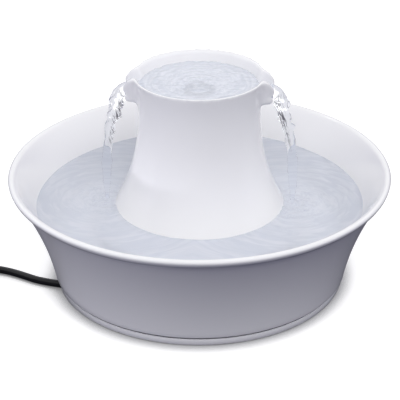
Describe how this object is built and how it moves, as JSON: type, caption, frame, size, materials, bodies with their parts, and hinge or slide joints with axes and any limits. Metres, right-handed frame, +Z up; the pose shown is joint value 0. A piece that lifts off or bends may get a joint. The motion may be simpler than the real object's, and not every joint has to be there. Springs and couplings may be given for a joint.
{
  "type": "pet water fountain",
  "caption": "Ceramic pet water fountain: a flared round bowl with a waisted tower in its middle, whose dish pours through opposite spouts, fed by a submersible pump.",
  "frame": {"origin": "middle of the base, on the surface that the bowl stands on", "axes": "+Z up, the spouts point along +X and -X, the cord leaves at the left near -X"},
  "size_m": [0.466, 0.318, 0.183],
  "materials": {
    "white_glaze": "glossy white glaze",
    "pad_rubber": "matt",
    "grey_rubber": "satin grey",
    "clear_tube": "translucent",
    "housing_plastic": "moulded black",
    "pump_plastic": "moulded black, fine grain",
    "wheel_plastic": "moulded white",
    "ferrite": "ground dark grey",
    "shaft_ceramic": "polished",
    "bush_rubber": "matt",
    "screw_steel": "plain",
    "foam": "open-cell foam",
    "carbon_plastic": "moulded white",
    "carbon": "carbon granules in felt",
    "black_cord": "satin black jacket",
    "tie_strap": "black hook strap",
    "pin_brass": "plated"
  },
  "bodies": {
    "base": {"bowl": "white_glaze", "base_pads": "pad_rubber", "suction_cups": "grey_rubber", "filter_housing": "housing_plastic", "housing_lid": "housing_plastic", "foam_filter": "foam", "pump_body": "pump_plastic", "pump_cover": "pump_plastic", "pump_screws": "screw_steel", "front_bush": "bush_rubber", "rear_bush": "bush_rubber", "impeller_shaft": "shaft_ceramic", "lead_gland": "pump_plastic", "stem_grommet": "grey_rubber", "pump_lead": "black_cord", "cord_run": "black_cord", "cord_coil": "black_cord", "cord_tie": "tie_strap", "plug_relief": "black_cord", "plug_body": "black_cord", "plug_pins": "pin_brass"},
    "tower_top": {"tower": "white_glaze", "outlet_ring": "grey_rubber", "riser_tube": "clear_tube", "riser_seal": "grey_rubber"},
    "impeller": {"rotor_magnet": "ferrite", "impeller_wheel": "wheel_plastic"},
    "regulator": {"flow_regulator": "pump_plastic"},
    "carbon_cartridge": {"carbon_frame": "carbon_plastic", "carbon_pad": "carbon"}
  },
  "joints": [
    {"name": "tower_lift", "type": "slide", "parent": "base", "child": "tower_top", "axis": [0, 0, 1], "range_m": [0, 0.1]},
    {"name": "impeller_spin", "type": "hinge", "parent": "base", "child": "impeller", "pos_m": [0, 0, 0.039], "axis": [1, 0, 0], "continuous": true},
    {"name": "regulator_turn", "type": "hinge", "parent": "base", "child": "regulator", "pos_m": [0, 0, 0.039], "axis": [1, 0, 0], "range_deg": [0, 45]},
    {"name": "carbon_lift", "type": "slide", "parent": "base", "child": "carbon_cartridge", "axis": [0, 0, 1], "range_m": [0, 0.045]}
  ]
}
